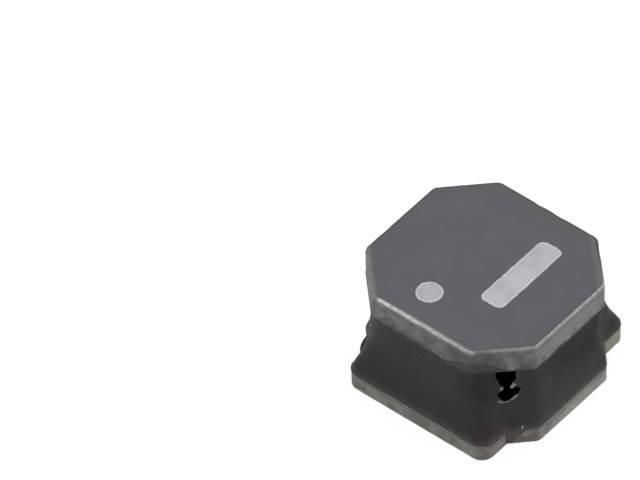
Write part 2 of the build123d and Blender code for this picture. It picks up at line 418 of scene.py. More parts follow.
def plate_side(f, patch, fine):
    """The bottom flange: mottled and marked, with painted light low on its right side, paler at the near
    notch with painted shade on its flank, and stained along its upper edge.
    """
    plate = f.mix(f.ramp(patch, 0.32, 0.66), (0.125, 0.114, 0.102, 1), (0.265, 0.252, 0.228, 1))
    plate = f.lay(plate, f.ramp(fine, 0.40, 0.7), 0.5, (0.205, 0.192, 0.170, 1))
    plate = f.marked(plate, plate_marks)
    pale_share = f.spot((2.26, -1.409, 0.33), (0.17, 0.17, 0.10), 1.15, 0.6)
    plate = f.lay(plate, pale_share, 0.6, (0.28, 0.265, 0.245, 1))
    # Painted shade on the flank of the near notch, outside the paler spot
    notch_painted_shade = f.spot((2.30, -1.37, 0.20), (0.26, 0.26, 0.45), 1.15, 0.8)
    notch_painted_shade = f.math("MULTIPLY", notch_painted_shade, f.math("SUBTRACT", 1.0, pale_share))
    plate = f.lay(plate, notch_painted_shade, 0.5, (0.105, 0.095, 0.085, 1))
    line = f.math("ADD", f.axis(f.place, "Z"), f.spread(patch, 0.3, 0.7, -0.10, 0.10))
    stain = f.ramp(line, flange_top - 0.12, flange_top - 0.02)
    return f.lay(plate, stain, 0.45, (0.075, 0.068, 0.062, 1))


def ferrite_finish():
    """Sintered ferrite with a ground top face and raw sides; its pale edges are partly wear and partly a
    painted highlight, strongest on the front and right edges, and the dark rim at the back of the top is
    painted shade.
    """
    f = Finish("ferrite", Roughness=0.55, Specular_IOR_Level=0.35)
    patch = f.cloud(0.30, 4, 0.6)
    fine = f.cloud(0.11, 4, 0.65)
    grain = f.cloud(0.025, 3, 0.6)
    low = f.ramp(f.axis(f.place, "Z"), 1.2, 0.8)
    side = f.mix(low, raw_side(f, patch, fine), plate_side(f, patch, fine))
    colour = f.mix(f.ramp(f.facing(), 0.9, 0.98), side, top_face(f, patch, fine))
    # Pale edges: wear and a painted highlight, broken up unevenly
    uneven_share = f.spread(f.cloud(0.10, 4, 0.7), 0.38, 0.58, 0.5, 1.0)
    wear_and_highlight = f.math("MULTIPLY", f.painted("wear_and_highlight"), uneven_share)
    colour = f.mix(wear_and_highlight, colour, (0.93, 0.95, 0.94, 1))
    # Painted shade on the rounded back edges of the top
    colour = f.lay(colour, f.painted("dark_rim"), 0.8, (0.045, 0.045, 0.048, 1))
    colour = f.lay(colour, f.ramp(grain, 0.68, 0.78), 0.30, (0.30, 0.30, 0.30, 1))
    rough_out = f.spread(fine, 0.3, 0.7, 0.48, 0.68)
    normal = f.bump(grain, 0.004, 0.7, f.bump(patch, 0.015, 0.5))
    return f.out(Base_Color=colour, Roughness=rough_out, Normal=normal)


def resin_finish():
    """Dark resin filled with magnetic powder: brownish black, mottled, with pale and dark grains; on the
    right wall painted shade under the top flange and on a ridge at its back end, and painted light low
    down.
    """
    f = Finish("potting_resin", Roughness=0.6, Specular_IOR_Level=0.3)
    blotch = f.cloud(0.8, 4)
    fine = f.cloud(0.10, 4, 0.65)
    grain = f.cloud(0.022, 3, 0.6)
    colour = f.mix(f.ramp(blotch, 0.3, 0.7), (0.0215, 0.0152, 0.0154, 1), (0.0295, 0.0214, 0.0214, 1))
    colour = f.mix(f.ramp(fine, 0.35, 0.75), colour, (0.034, 0.027, 0.0265, 1))
    # Painted shade on the right wall under the top flange
    painted_shade_under_flange = f.spot((2.35, 0.5, 2.20), (0.8, 2.4, 1.30), 1.1, 0.35)
    colour = f.lay(colour, painted_shade_under_flange, 0.7, (0.0105, 0.0088, 0.0098, 1))
    # Painted shade over a ridge at the back of the right wall, which would otherwise catch the light
    ridge_painted_shade = f.spot((2.30, 1.50, 1.40), (0.50, 0.65, 1.05), 1.1, 0.4)
    colour = f.lay(colour, ridge_painted_shade, 0.6, (0.0110, 0.0095, 0.0100, 1))
    # Painted light: the lower part of the right wall made paler
    foot = f.spot((2.45, -0.2, 0.55), (0.5, 1.5, 0.55), 1.1, 0.4)
    colour = f.lay(colour, foot, 0.5, (0.046, 0.041, 0.037, 1))
    corner = f.spot((1.60, -2.00, 2.00), (0.8, 0.6, 0.7), 1.1, 0.5)
    colour = f.lay(colour, corner, 0.4, (0.013, 0.011, 0.012, 1))
    thin = f.math("MULTIPLY", f.painted("thin"), f.spread(fine, 0.3, 0.7, 0.35, 0.95))
    colour = f.mix(thin, colour, (0.115, 0.103, 0.094, 1))
    colour = f.lay(colour, f.ramp(grain, 0.66, 0.76), 0.4, (0.10, 0.09, 0.085, 1))
    rough_out = f.spread(fine, 0.3, 0.7, 0.52, 0.72)
    dull = f.math("MAXIMUM", f.math("MAXIMUM", painted_shade_under_flange, ridge_painted_shade), f.math("MULTIPLY", corner, 0.5))
    shine = f.spread(dull, 0.0, 1.0, 0.30, 0.13)
    normal = f.bump(grain, 0.005, 0.7, f.bump(fine, 0.014, 0.6))
    return f.out(Base_Color=colour, Roughness=rough_out, Specular_IOR_Level=shine, Normal=normal)


def void_shade_finish():
    """The inside of the void: painted shade, near black, with a few faint crumbs of powder."""
    f = Finish("void_inside", Roughness=0.9, Specular_IOR_Level=0.02)
    grain = f.cloud(0.05, 4, 0.65)
    # Painted shade: the cavity's inside is near black
    colour = f.mix(f.ramp(grain, 0.62, 0.8), (0.0015, 0.0013, 0.0013, 1), (0.012, 0.011, 0.010, 1))
    return f.out(Base_Color=colour, Normal=f.bump(grain, 0.02, 0.6))


def grit_finish():
    """Pale crumbs of ferrite and cured resin."""
    f = Finish("pale_grit", Roughness=0.7, Specular_IOR_Level=0.3)
    grain = f.cloud(0.03, 4, 0.65)
    colour = f.mix(f.ramp(grain, 0.35, 0.65), (0.20, 0.195, 0.19, 1), (0.55, 0.55, 0.54, 1))
    return f.out(Base_Color=colour, Normal=f.bump(grain, 0.006, 0.7))


def enamel_finish():
    """Enamelled copper wire: warm metal under a clear coat."""
    f = Finish("enamelled_wire", Metallic=1.0, Roughness=0.28, Coat_Weight=0.6, Coat_Roughness=0.08)
    shade = f.cloud(0.35, 3)
    scuff = f.cloud(0.05, 3, stretch=(1, 1, 6))
    colour = f.mix(f.ramp(shade, 0.3, 0.7), (0.62, 0.25, 0.10, 1), (0.74, 0.33, 0.15, 1))
    colour = f.lay(colour, f.ramp(scuff, 0.62, 0.8), 0.5, (0.40, 0.15, 0.06, 1))
    normal = f.bump(scuff, 0.002, 0.5)
    return f.out(Base_Color=colour, Roughness=f.spread(shade, 0.3, 0.7, 0.22, 0.36), Normal=normal)


def tin_finish():
    """Matt tin plate over a silver layer, with a fired, slightly grainy surface."""
    f = Finish("tin_plating", Metallic=1.0, Roughness=0.38)
    shade = f.cloud(0.6, 4)
    grain = f.cloud(0.04, 4, 0.65)
    colour = f.mix(f.ramp(shade, 0.3, 0.7), (0.66, 0.65, 0.62, 1), (0.76, 0.75, 0.73, 1))
    colour = f.lay(colour, f.ramp(grain, 0.6, 0.8), 0.5, (0.52, 0.50, 0.47, 1))
    normal = f.bump(grain, 0.004, 0.7)
    return f.out(Base_Color=colour, Roughness=f.spread(grain, 0.3, 0.7, 0.32, 0.50), Normal=normal)


def solder_finish():
    """Bright solder with soft ripples and dull patches of flux."""
    f = Finish("solder", Metallic=1.0, Roughness=0.22)
    ripple = f.cloud(0.14, 3, stretch=(0.5, 1, 1))
    dull = f.cloud(0.4, 3)
    colour = f.mix(f.ramp(dull, 0.45, 0.75), (0.74, 0.74, 0.74, 1), (0.58, 0.57, 0.55, 1))
    normal = f.bump(ripple, 0.010, 0.6)
    return f.out(Base_Color=colour, Roughness=f.spread(dull, 0.3, 0.7, 0.15, 0.34), Normal=normal)


def ink_finish():
    """Pale grey ink, thin and slightly patchy over the ferrite."""
    f = Finish("marking_ink", Roughness=0.6, Specular_IOR_Level=0.3)
    patch = f.cloud(0.35, 4)
    grain = f.cloud(0.05, 4, 0.65)
    colour = f.mix(f.ramp(patch, 0.35, 0.7), (0.53, 0.555, 0.58, 1), (0.64, 0.65, 0.675, 1))
    fresh = f.spot((0.79, 0.31, 3.01), (0.6, 1.4, 0.5), 1.1, 0.9)
    lilac = f.math("MULTIPLY", fresh, f.spread(patch, 0.3, 0.7, 0.2, 0.75))
    colour = f.mix(lilac, colour, (0.72, 0.735, 0.785, 1))
    colour = f.lay(colour, f.ramp(grain, 0.62, 0.8), 0.4, (0.42, 0.43, 0.45, 1))
    rim = f.math("MULTIPLY", f.painted("rim"), f.ramp(grain, 0.35, 0.6))
    colour = f.lay(colour, rim, 0.9, (0.90, 0.91, 0.92, 1))
    normal = f.bump(grain, 0.004, 0.6)
    return f.out(Base_Color=colour, Roughness=f.spread(grain, 0.3, 0.7, 0.5, 0.7), Normal=normal)


ferrite = ferrite_finish()
resin = resin_finish()
hollow = void_shade_finish()
grit = grit_finish()
enamel = enamel_finish()
tin = tin_finish()
solder = solder_finish()
ink = ink_finish()

# Outlines: the corners of both flanges match one to one, so that the resin can drape between them
plate_corners = quadrants(
    [(plate_half_length, middle_half_width), (end_block_x, notch_corner_y), (end_block_x, plate_half_width)]
)
side_corner = np.array([top_half_length, top_half_width - top_corner])
end_corner = np.array([top_half_length - top_corner, top_half_width])
split_point = side_corner + (end_corner - side_corner) * drape_split
top_corners = quadrants([tuple(side_corner), tuple(split_point), tuple(end_corner)])
first_radii = [middle_corner_radius, notch_corner_radius, end_block_radius]
plate_radii = (first_radii + first_radii[::-1]) * 2
top_radii = [top_corner_radius, 0.0, top_corner_radius] * 4
counts = [30, 36, 60, 36, 30, 60] * 2

plate = rounded_loop(plate_corners, plate_radii, counts)
plate_normals = outward(plate)
top = rounded_loop(top_corners, top_radii, counts)
top_normals = outward(top)
angles = np.arctan2(plate[:, 1] + top[:, 1], plate[:, 0] + top[:, 0])
spokes = np.column_stack([np.cos(angles), np.sin(angles)])


def circle(radius, height):
    """A row on a circle round the post."""
    return np.column_stack([spokes * radius, height * np.ones(len(spokes))])


def worn(row, normals, depth, seed):
    """A row with small chips and dents pressed into it."""
    dents = np.clip(rough(row, 0.16, seed) - 0.12, 0, 1) * depth
    dents += np.clip(rough(row, 0.5, seed + 1) - 0.25, 0, 1) * depth
    moved = row.copy()
    moved[:, :2] -= normals * dents[:, None]
    return moved


def flange_rows(loop, normals, low, high, seed):
    """Rows up the side of a flange and over its rounded upper edge, chipped and slightly wavy."""
    start = low + first_step
    rows = [ring(loop, normals, first_step, low)]
    rows.append(worn(ring(loop, normals, 0.0, start), normals, 0.02, seed))
    straight = high - edge_round - start
    for step in range(1, side_spans):
        row = ring(loop, normals, 0.0, start + straight * step / side_spans)
        wave = rough(row, 0.30, seed + 2) * 0.004
        row[:, :2] += normals * np.minimum(wave, 0)[:, None]
        rows.append(row)
    for step in range(edge_spans + 1):
        turn = pi / 2 * step / edge_spans
        row = ring(loop, normals, edge_round * (1 - cos(turn)), high - edge_round * (1 - sin(turn)))
        rows.append(worn(row, normals, 0.030, seed + 4))
    return rows


def ferrite_core():
    """The drum core as one skin, from the middle of its underside to the middle of its top."""
    rows = [np.column_stack([plate * share, np.full(len(plate), core_bottom)]) for share in (0.5, 0.9)]
    rows += flange_rows(plate, plate_normals, core_bottom, flange_top, 1)
    plate_edge = len(rows) - edge_spans - 1
    rows += [circle(post_radius + post_root, flange_top), circle(post_radius, flange_top + post_root)]
    rows.append(circle(post_radius, top_flange_bottom - post_root))
    rows.append(circle(post_radius + post_root, top_flange_bottom))
    rows += flange_rows(top, top_normals, top_flange_bottom, overall_height, 11)
    top_edge = len(rows) - edge_spans - 1
    rows += [ring(top, top_normals, inset, overall_height) for inset in (0.075, 0.115)]
    for share in (0.90, 0.8, 0.5):
        rows.append(np.column_stack([top * share, np.full(len(top), overall_height)]))
    mesh = skin("ferrite_core", rows)
    border = [1, 1, 0.85, 0.5, 0, 0]
    store_rows(mesh, "border", [0] * (len(rows) - len(border)) + border, len(top))
    core_wear_highlight_and_shade(mesh, rows, plate_edge, top_edge)
    cutters = [cutter(side * groove_y) for cutter in (groove_cutter, upright_cutter) for side in (-1, 1)]
    return cut(mesh, cutters)


def core_wear_highlight_and_shade(mesh, rows, plate_edge, top_edge):
    """Stores on the core's points how pale its edges are, partly wear and partly a painted highlight, and
    how dark the rim of its top is: painted shade along the back edges, and a dark line just inside the
    right edges.
    """
    x, y, z = np.concatenate(rows).T
    over_edge = np.array([0.3, 0.9, 1.0, 1.0, 0.9])
    row_wear_and_highlight = np.zeros(len(rows))
    row_wear_and_highlight[plate_edge : plate_edge + len(over_edge)] = 0.55 * over_edge
    row_wear_and_highlight[top_edge : top_edge + len(over_edge)] = over_edge
    wear_and_highlight = np.repeat(row_wear_and_highlight, len(top))
    first_flat = (top_edge + len(over_edge)) * len(top)
    inner = slice(first_flat, first_flat + len(top))
    front_edge = y < 0.1 - top_half_width
    wear_and_highlight[inner] = 0.4 * front_edge[inner] * np.clip(x[inner] + 1.4, 0.1, 1)
    right_edge = (x > top_half_length - 0.1) | (x - y > 3.0)
    short_edge = right_edge & (x < top_half_length - 0.06)
    # Painted highlight: the front and right edges are made paler than the others, the short near edge more
    # towards the right
    pale_share = np.where(right_edge, 0.45 + 0.04 * y, 0.14)
    pale_share = np.where(short_edge, 0.08 + 0.34 * (x - top_half_length + top_corner), pale_share)
    fade = np.clip((x + 1.28) / 0.10, 0.12, 1)
    store(mesh, "wear_and_highlight", wear_and_highlight * np.where(front_edge, (0.80 - 0.22 * x) * fade, pale_share))
    # Painted shade along the back edges of the top; a dark line also runs just inside the right edges
    behind = np.clip((y - x - 0.8) / 0.8, 0, 1) + np.clip((y - 1.3) / 0.6, 0, 1)
    dark = np.minimum(behind, 1) * (z > overall_height - 1.5 * edge_round)
    dark[first_flat:] = 0
    along_right = np.maximum((x[inner] - y[inner] - 3.3) / 0.6, (x[inner] - 2.25) / 0.1)
    dark[inner] = 0.5 * np.clip(along_right, 0, 1)
    store(mesh, "dark_rim", dark)


def groove_cutter(middle):
    """A bar with the arched section of a wire groove, from beyond the left side to the groove's end."""
    around = np.linspace(0, pi, 25)
    arch = [(cos(turn) * groove_radius, sin(turn) * groove_radius + groove_wire_z) for turn in around]
    arch = [(groove_radius, cutter_foot), *arch, (-groove_radius, cutter_foot)]
    row = np.array([(0, middle - y, z) for y, z in arch])
    return skin("groove", [row + (-3, 0, 0), row + (groove_end_x, 0, 0)])


def upright_cutter(middle):
    """A round bar that cuts the upright groove of a lead through the bottom flange."""
    around = [(cos(t), sin(t)) for t in np.linspace(0, 2 * pi, 48, endpoint=False)]
    row = np.array([(x, y, 0) for x, y in around]) * lead_groove_radius + (-lead_x, middle, 0)
    return skin("upright_groove", [row + (0, 0, cutter_foot), row + (0, 0, flange_top + 0.01)])


def rounded_route(points, radius):
    """Points along straight runs with rounded corners."""
    route = [np.array(points[0])]
    for before, corner, after in zip(points, points[1:], points[2:]):
        before, corner, after = np.array(before), np.array(corner), np.array(after)
        back = (before - corner) / np.linalg.norm(before - corner)
        ahead = (after - corner) / np.linalg.norm(after - corner)
        half = acos(np.clip(back @ ahead, -1, 1)) / 2
        reach = radius / tan(half)
        centre = corner + (back + ahead) / np.linalg.norm(back + ahead) * radius / sin(half)
        start, end = corner + back * reach - centre, corner + ahead * reach - centre
        sweep = pi - 2 * half
        for step in range(bend_steps + 1):
            share = step / bend_steps
            turned = start * sin((1 - share) * sweep) + end * sin(share * sweep)
            route.append(centre + turned / sin(sweep))
    route.append(np.array(points[-1]))
    return route


def winding_route():
    """The wire from its end in the back groove to its end in the front groove."""
    far = hypot(lead_x, groove_y)
    notch = degrees(atan2(groove_y, -lead_x))
    start = notch + degrees(acos(inner_layer_radius / far))
    finish = 360 - notch - degrees(acos(outer_layer_radius / far))

    def at(radius, angle, height):
        return np.array([radius * cos(radians(angle)), radius * sin(radians(angle)), height])

    route = rounded_route(
        [
            (wire_end_x, groove_y, groove_wire_z),
            (-lead_x, groove_y, groove_wire_z),
            (-lead_x, groove_y, first_turn_z),
            at(inner_layer_radius, start, first_turn_z),
        ],
        bend_radius,
    )
    top_level = first_turn_z + full_turns * turn_pitch
    for step in range(1, full_turns * turn_steps + 1):
        share = step / turn_steps
        route.append(at(inner_layer_radius, start + 360 * share, first_turn_z + turn_pitch * share))
    for step in range(1, turn_steps // 2 + 1):
        share = step / (turn_steps // 2)
        out = (outer_layer_radius - inner_layer_radius) * (0.5 - 0.5 * cos(pi * share))
        route.append(at(inner_layer_radius + out, start + 180 * share, top_level))
    second = start + 180
    down = 360 * (full_turns - 1) - (second - finish) % 360
    count = ceil(down / 360 * turn_steps)
    for step in range(1, count + 1):
        angle = down * step / count
        route.append(at(outer_layer_radius, second + angle, top_level - turn_pitch * angle / 360))
    last = route[-1]
    way = np.array([-sin(radians(finish)), cos(radians(finish)), 0])
    route += rounded_route(
        [
            last + way * 0.05,
            last + way * lead_run_out,
            (-lead_x, -groove_y, first_turn_z),
            (-lead_x, -groove_y, groove_wire_z),
            (wire_end_x, -groove_y, groove_wire_z),
        ],
        bend_radius,
    )
    return route


def round_reach(row, middle, radii):
    """How far from the post's axis a round pillar reaches at each point of a row, or 0 beside it."""
    turn = np.arctan2(row[:, 1], row[:, 0])
    far = hypot(*middle)
    off = turn - atan2(middle[1], middle[0])
    off = np.arctan2(np.sin(off), np.cos(off))
    inside = radii**2 - (far * np.sin(off)) ** 2
    hit = (inside > 0) & (np.abs(off) < 0.5)
    return np.where(hit, far * np.cos(off) + np.sqrt(np.maximum(inside, 0)), 0)


def coat_reach(row):
    """How far from the post's axis the coat on the leads reaches at each point of a row, or 0 beside it."""
    away = np.hypot(row[:, 0], row[:, 1])
    ways = row[:, :2] / away[:, None]
    along = ways @ lead_points[:, :2].T
    across = np.outer(ways[:, 0], lead_points[:, 1]) - np.outer(ways[:, 1], lead_points[:, 0])
    inside = coat_radius**2 - across**2 - (row[:, 2][:, None] - lead_points[:, 2]) ** 2
    return np.max(np.where((inside > 0) & (along > 0), along + np.sqrt(np.maximum(inside, 0)), 0), axis=1)


def swell(row):
    """A row pushed out round the two coated leads and over the resin that ran down in the near notch."""
    height = row[:, 2]
    away = np.hypot(row[:, 0], row[:, 1])
    reach = coat_reach(row)
    low = np.clip((flange_top + 0.12 - height) / 0.12, 0, 1)
    ran = round_reach(row, overflow_middle, overflow_radius + 0.015 * rough(row, 0.10, 27))
    reach = np.maximum(reach, np.where(low > 0, ran - 0.10 * (1 - low), 0))
    soft = 0.03
    smooth = np.where(reach > 0, 0.5 * (away + reach + np.sqrt((away - reach) ** 2 + soft**2)), away)
    moved = row.copy()
    moved[:, :2] *= (smooth / away)[:, None]
    return moved


def eased(row, width):
    """A row with its corners rounded by a soft average over a width along it."""
    steps = np.linalg.norm(np.roll(row, -1, axis=0) - row, axis=1)
    place_along = np.concatenate([[0], np.cumsum(steps)[:-1]])
    total = steps.sum()
    apart = np.abs(place_along[:, None] - place_along[None, :])
    apart = np.minimum(apart, total - apart)
    share = 0.5 * (steps + np.roll(steps, 1))
    weights = np.exp(-0.5 * (apart / width) ** 2) * share[None, :]
    return weights @ row / weights.sum(axis=1)[:, None]


def foot_reach():
    """How far the resin reaches down from the bottom flange's upper edge at each station."""
    flat = np.column_stack([plate, np.zeros(len(plate))])
    x, y = plate.T
    reach = np.maximum(0.036 + 0.028 * rough(flat, 0.45, 21) + 0.026 * rough(flat, 0.15, 22), 0.012)
    # Wider on the near end block
    at_block = np.hypot(x - end_block_x, y + 2.0)
    reach += 0.07 * np.clip(1.3 - at_block / 0.30, 0, 1)
    # The coat on each lead
    for side in (-1, 1):
        at_lead = np.hypot(x + lead_x, y - side * groove_y)
        reach = np.maximum(reach, (flange_top - coat_bottom) * np.clip(2.2 - at_lead / 0.13, 0, 1))
    # The run down the near notch, steep beside the end block and fading the other way
    along = (x - end_block_x + y + notch_corner_y) / 2**0.5
    beside = np.hypot(x - end_block_x, y + notch_corner_y)
    ran = np.where(along > 0, along / 0.52, -along / 0.04) + 0.12 * rough(flat, 0.10, 28)
    ran = np.where(beside < 0.8, np.clip(1 - ran, 0, 1), 0)
    return np.maximum(reach, (flange_top - overflow_bottom) * ran**0.8)


def creep_reach():
    """How far the resin creeps up the top flange's side at each station, most at the front's near end."""
    flat = np.column_stack([top, np.zeros(len(top))])
    creep = 0.030 + 0.040 * rough(flat, 0.45, 23) + 0.012 * rough(flat, 0.12, 24)
    # A round patch at the near end of the front
    near_end = np.hypot(top[:, 0] - 1.47, top[:, 1] + 2.15) / 0.74
    creep += 0.32 * np.clip(1 - near_end**2, 0, 1) ** 1.3 * (1 + 0.15 * rough(flat, 0.3, 29))
    return np.clip(creep, 0.006, 0.40)


def wall_row(step):
    """One row of the draped wall, hollow between the flanges, eased at its corners and slightly bumpy."""
    share = step / wall_spans
    line = plate * (1 - share) + top * share
    away = np.linalg.norm(line, axis=1)
    overhang = 0.55 * np.clip(np.linalg.norm(plate, axis=1) - np.linalg.norm(top, axis=1) - 0.35, 0, 1)
    pull = (drape_dip + overhang) * sin(pi * share)
    line = line * ((away - pull) / away)[:, None]
    width = 0.16 * min(1.0, share / 0.15, (1 - share) / 0.10)
    if width > 0.01:
        line = eased(line, width)
    height = flange_top + (top_flange_bottom - flange_top) * share
    row = np.column_stack([line, np.full(len(line), height)])
    bumps = 0.016 * rough(row, 0.55, 25) + 0.007 * rough(row, 0.16, 26)
    fade = min(1.0, step / 3, (wall_spans - step) / 4)
    row[:, :2] *= (1 + fade * bumps / np.linalg.norm(line, axis=1))[:, None]
    return swell(row)


def resin_body():
    """The resin as one ring: films over the rims of both flanges, a wall between them and a bore inside."""
    reach, creep = foot_reach(), creep_reach()
    rows = [ring(plate, plate_normals, 0.02, flange_top - reach)]
    for share in (0.06, 0.2, 0.4, 0.6, 0.8):
        inset = -0.5 * film if share < 0.1 else -film
        rows.append(swell(ring(plate, plate_normals, inset, flange_top - reach * (1 - share))))
    thin = [1] * len(rows) + [0.8, 0.5, 0.25, 0.1] + [0] * (wall_spans - 3) + [0.7] * 4 + [0] * 4
    rows += [wall_row(step) for step in range(wall_spans + 1)]
    for share, inset in ((0.3, -film), (0.7, -film), (0.95, -0.5 * film), (1.0, 0.02)):
        rows.append(ring(top, top_normals, inset, top_flange_bottom + creep * share))
    rows.append(ring(top, top_normals, 0.05, top_flange_bottom + 0.02))
    rows += [circle(bore_radius, top_flange_bottom), circle(bore_radius, flange_top)]
    rows.append(ring(plate, plate_normals, 0.04, flange_top - 0.02))
    mesh = skin("resin_body", rows, looped=True)
    store_rows(mesh, "thin", thin, len(plate))
    return mesh


def void_cutter():
    """The hourglass space under one short side of the top flange, as a prism that reaches into the wall."""
    outline = [(0.205, 0.085), (0.21, -0.10), (0.205, -0.25), (0.14, -0.37), (0.085, -0.47)]
    outline += [(0.065, -0.54), (0.11, -0.58), (0.19, -0.54), (0.27, -0.54), (0.305, -0.61)]
    outline += [(0.285, -0.72), (0.21, -0.80), (0.16, -0.89), (0.05, -0.94), (-0.06, -0.95)]
    outline += [(-0.14, -0.86), (-0.20, -0.76), (-0.21, -0.67), (-0.12, -0.62), (-0.06, -0.57)]
    outline += [(-0.065, -0.48), (-0.155, -0.38), (-0.225, -0.19), (-0.25, -0.05), (-0.25, 0.085)]
    middle = [0.5 * (a + b) for a, b in zip(np.array(outline), np.roll(outline, -1, axis=0))]
    points = [p for pair in zip(np.array(outline), middle) for p in pair]
    distance = (top_half_length + top_half_width - top_corner) / 2**0.5
    rows = []
    for depth, seed in ((-0.6, 31), (0.0, 31), (0.12, 32), (0.26, 33), (0.40, 34)):
        row = []
        for x, y in points:
            jitter = 0.022 * noise.noise(Vector((x / 0.09, y / 0.09, seed)))
            base = void_out * (distance - depth) + void_along * (void_shift + x + jitter)
            row.append(base + (0, 0, top_flange_bottom - void_drop + y + jitter * 0.6))
        rows.append(np.array(row))
    return skin("void", rows)


place("ferrite_core", ferrite_core(), [ferrite], ["drum_core"])

# The wire's route, and close points along its two leads, which the resin coats
route = winding_route()
lead_points = []
for lead in (route[:30], route[-30:]):
    for before, after in zip(lead, lead[1:]):
        lead_points += [before + (after - before) * share for share in np.linspace(0, 1, 40)]
lead_points = np.array([p for p in lead_points if hypot(p[0], p[1]) > bore_radius - wire_radius])

resin_mesh = resin_body()
face_outwards(resin_mesh)
void = void_cutter()
void.materials.append(hollow)
resin_mesh.materials.append(resin)
resin_mesh = cut(resin_mesh, [void])
place("potting_resin", resin_mesh, [resin, hollow], ["resin_fill"], sharp=50)


class Growth(Nodes):
    """A geometry node tree with named inputs, each with its socket type and its value."""

    def __init__(self, name, inputs):
        super().__init__(bpy.data.node_groups.new(name, "GeometryNodeTree"))
        face = self.tree.interface
        face.new_socket("Geometry", in_out="INPUT", socket_type="NodeSocketGeometry")
        self.values = {}
        for label, kind, value in inputs:
            socket = face.new_socket(label, in_out="INPUT", socket_type=kind)
            self.values[socket.identifier] = value
        face.new_socket("Geometry", in_out="OUTPUT", socket_type="NodeSocketGeometry")
        self.start = self.add("NodeGroupInput").outputs

    def real(self, geometry):
        """The geometry with its instances made real."""
        return self.add("GeometryNodeRealizeInstances", {"Geometry": geometry}).outputs["Geometry"]

    def finish(self, geometry, material):
        """Ends the tree with the geometry set in one material, and gives the whole."""
        paint = self.add("GeometryNodeSetMaterial", {"Geometry": geometry, "Material": material})
        self.add("NodeGroupOutput", {"Geometry": paint.outputs["Geometry"]})
        return self


def wire_growth():
    """A round wire swept along a curve."""
    inputs = [("Wire radius", "NodeSocketFloat", wire_radius * METRES)]
    inputs += [("Sides", "NodeSocketInt", wire_sides)]
    growth = Growth("round_wire", inputs)
    sizes = {"Radius": growth.start["Wire radius"], "Resolution": growth.start["Sides"]}
    section = growth.add("GeometryNodeCurvePrimitiveCircle", sizes).outputs["Curve"]
    curves = {"Curve": growth.start["Geometry"], "Profile Curve": section, "Fill Caps": True}
    swept = growth.add("GeometryNodeCurveToMesh", curves).outputs["Mesh"]
    return growth.finish(growth.real(swept), enamel)


def grown(name, source, growth):
    """The plain mesh that a geometry tree makes from a curve or mesh."""
    base = bpy.data.objects.new(name, source)
    bpy.context.scene.collection.objects.link(base)
    modifier = base.modifiers.new("grow", "NODES")
    modifier.node_group = growth.tree
    for socket, value in growth.values.items():
        modifier[socket] = value
    made = bpy.data.meshes.new_from_object(base.evaluated_get(bpy.context.evaluated_depsgraph_get()))
    base.modifiers.remove(modifier)
    bpy.data.objects.remove(base)
    return made


wire_curve = bpy.data.curves.new("wire_route", "CURVE")
wire_curve.dimensions = "3D"
spline = wire_curve.splines.new("POLY")
spline.points.add(len(route) - 1)
for point, at_route in zip(spline.points, route):
    point.co = (*(at_route * METRES), 1)
wire_mesh = grown("wire", wire_curve, wire_growth())
place("choke_wire", wire_mesh, [enamel], ["winding"], sharp=60)


def print_mesh(name, loop, seed):
    """A thin print with a ragged, rounded rim, and a number on its points that is 1 near the rim."""
    normals = outward(loop)
    flat = np.column_stack([loop, np.zeros(len(loop))])
    ragged = 0.013 * rough(flat, 0.20, seed) + 0.012 * rough(flat, 0.07, seed + 1)
    edge = loop + normals * ragged[:, None]
    surface = overall_height + ink_thickness
    rows = [ring(edge, normals, 0.0, height) for height in (overall_height, surface - 0.5 * ink_thickness)]
    rows += [ring(edge, normals, inset, surface) for inset in (0.006, 0.03, 0.06)]
    mesh = skin(name, rows)
    store_rows(mesh, "rim", [1, 1, 1, 0.8, 0], len(loop))
    return mesh


def crumb_growth():
    """A dented crumb on every point, each turned and sized by a fixed seed."""
    inputs = [("Crumb size", "NodeSocketFloat", crumb_radius * METRES), ("Seed", "NodeSocketInt", 7)]
    growth = Growth("crumbs", inputs)
    seed = growth.start["Seed"]
    round_crumb = {"Radius": growth.start["Crumb size"], "Subdivisions": 3}
    ball = growth.add("GeometryNodeMeshIcoSphere", round_crumb)
    any_turn = {"Max": (2 * pi, 2 * pi, 2 * pi), "Seed": seed}
    turn = growth.add("FunctionNodeRandomValue", any_turn, data_type="FLOAT_VECTOR")
    any_size = {"Min": (0.5, 0.6, 0.4), "Max": (1.6, 1.2, 1.0), "Seed": seed}
    grow = growth.add("FunctionNodeRandomValue", any_size, data_type="FLOAT_VECTOR").outputs["Value"]
    own = growth.add("GeometryNodeInputNamedAttribute", {"Name": "crumb_size"}, data_type="FLOAT")
    factors = {0: grow, "Scale": own.outputs["Attribute"]}
    size = growth.add("ShaderNodeVectorMath", factors, operation="SCALE").outputs["Vector"]
    spots = {"Points": growth.start["Geometry"], "Instance": ball.outputs["Mesh"]}
    spots.update({"Rotation": turn.outputs["Value"], "Scale": size})
    crumbs = growth.real(growth.add("GeometryNodeInstanceOnPoints", spots).outputs["Instances"])
    dent = growth.add("ShaderNodeTexNoise", {"Scale": 1 / (dent_width * METRES)}).outputs["Fac"]
    depths = {"Value": dent, "To Min": -dent_depth * METRES, "To Max": dent_depth * METRES}
    depth = growth.add("ShaderNodeMapRange", depths).outputs["Result"]
    way = growth.add("GeometryNodeInputNormal").outputs["Normal"]
    push = growth.add("ShaderNodeVectorMath", {0: way, "Scale": depth}, operation="SCALE").outputs["Vector"]
    dented = growth.add("GeometryNodeSetPosition", {"Geometry": crumbs, "Offset": push})
    return growth.finish(dented.outputs["Geometry"], grit)


